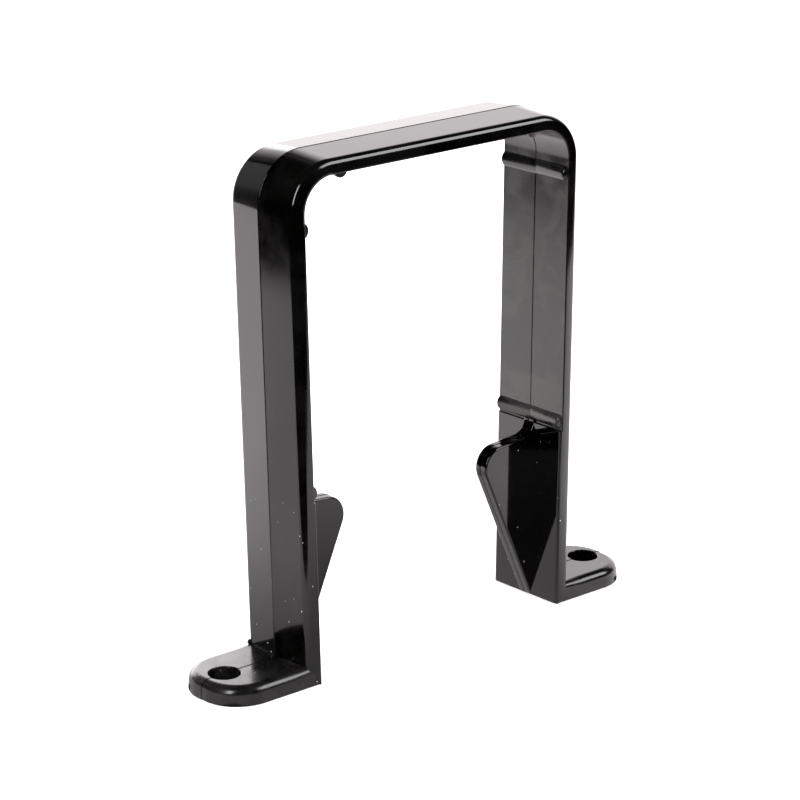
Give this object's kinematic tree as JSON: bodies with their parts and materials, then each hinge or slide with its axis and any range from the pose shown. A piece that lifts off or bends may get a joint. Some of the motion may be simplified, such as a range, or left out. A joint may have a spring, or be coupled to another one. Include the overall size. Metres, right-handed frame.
{
  "type": "square downpipe bracket",
  "caption": "Clip-on plastic bracket that holds a square rainwater downpipe off a wall: a bent strap with a screw foot on each side, crush beads and inner catch fins.",
  "frame": {"origin": "middle of the wall plane between the two feet, below the middle of the crown", "axes": "+X across the bracket from foot to foot, +Y along the pipe, +Z square out of the wall"},
  "size_m": [0.1104, 0.0196, 0.1071],
  "materials": {
    "moulding": "gloss black, moulded"
  },
  "bodies": {
    "crown_body": {"crown_bar": "moulding", "left_shoulder": "moulding", "right_shoulder": "moulding", "left_crown_bead": "moulding", "right_crown_bead": "moulding"},
    "left_side": {"left_leg": "moulding", "left_leg_pad": "moulding", "left_catch_fin": "moulding", "left_upper_bead": "moulding", "left_lower_bead": "moulding", "left_foot": "moulding"},
    "right_side": {"right_leg": "moulding", "right_leg_pad": "moulding", "right_catch_fin": "moulding", "right_upper_bead": "moulding", "right_lower_bead": "moulding", "right_foot": "moulding"}
  },
  "joints": [
    {"name": "left_leg_flex", "type": "hinge", "parent": "crown_body", "child": "left_side", "pos_m": [-0.03825, 0, 0.09624], "axis": [0, 1, 0], "range_deg": [0, 12], "stiffness_Nm_per_rad": 4},
    {"name": "right_leg_flex", "type": "hinge", "parent": "crown_body", "child": "right_side", "pos_m": [0.03825, 0, 0.09624], "axis": [0, -1, 0], "range_deg": [0, 12], "stiffness_Nm_per_rad": 4}
  ]
}
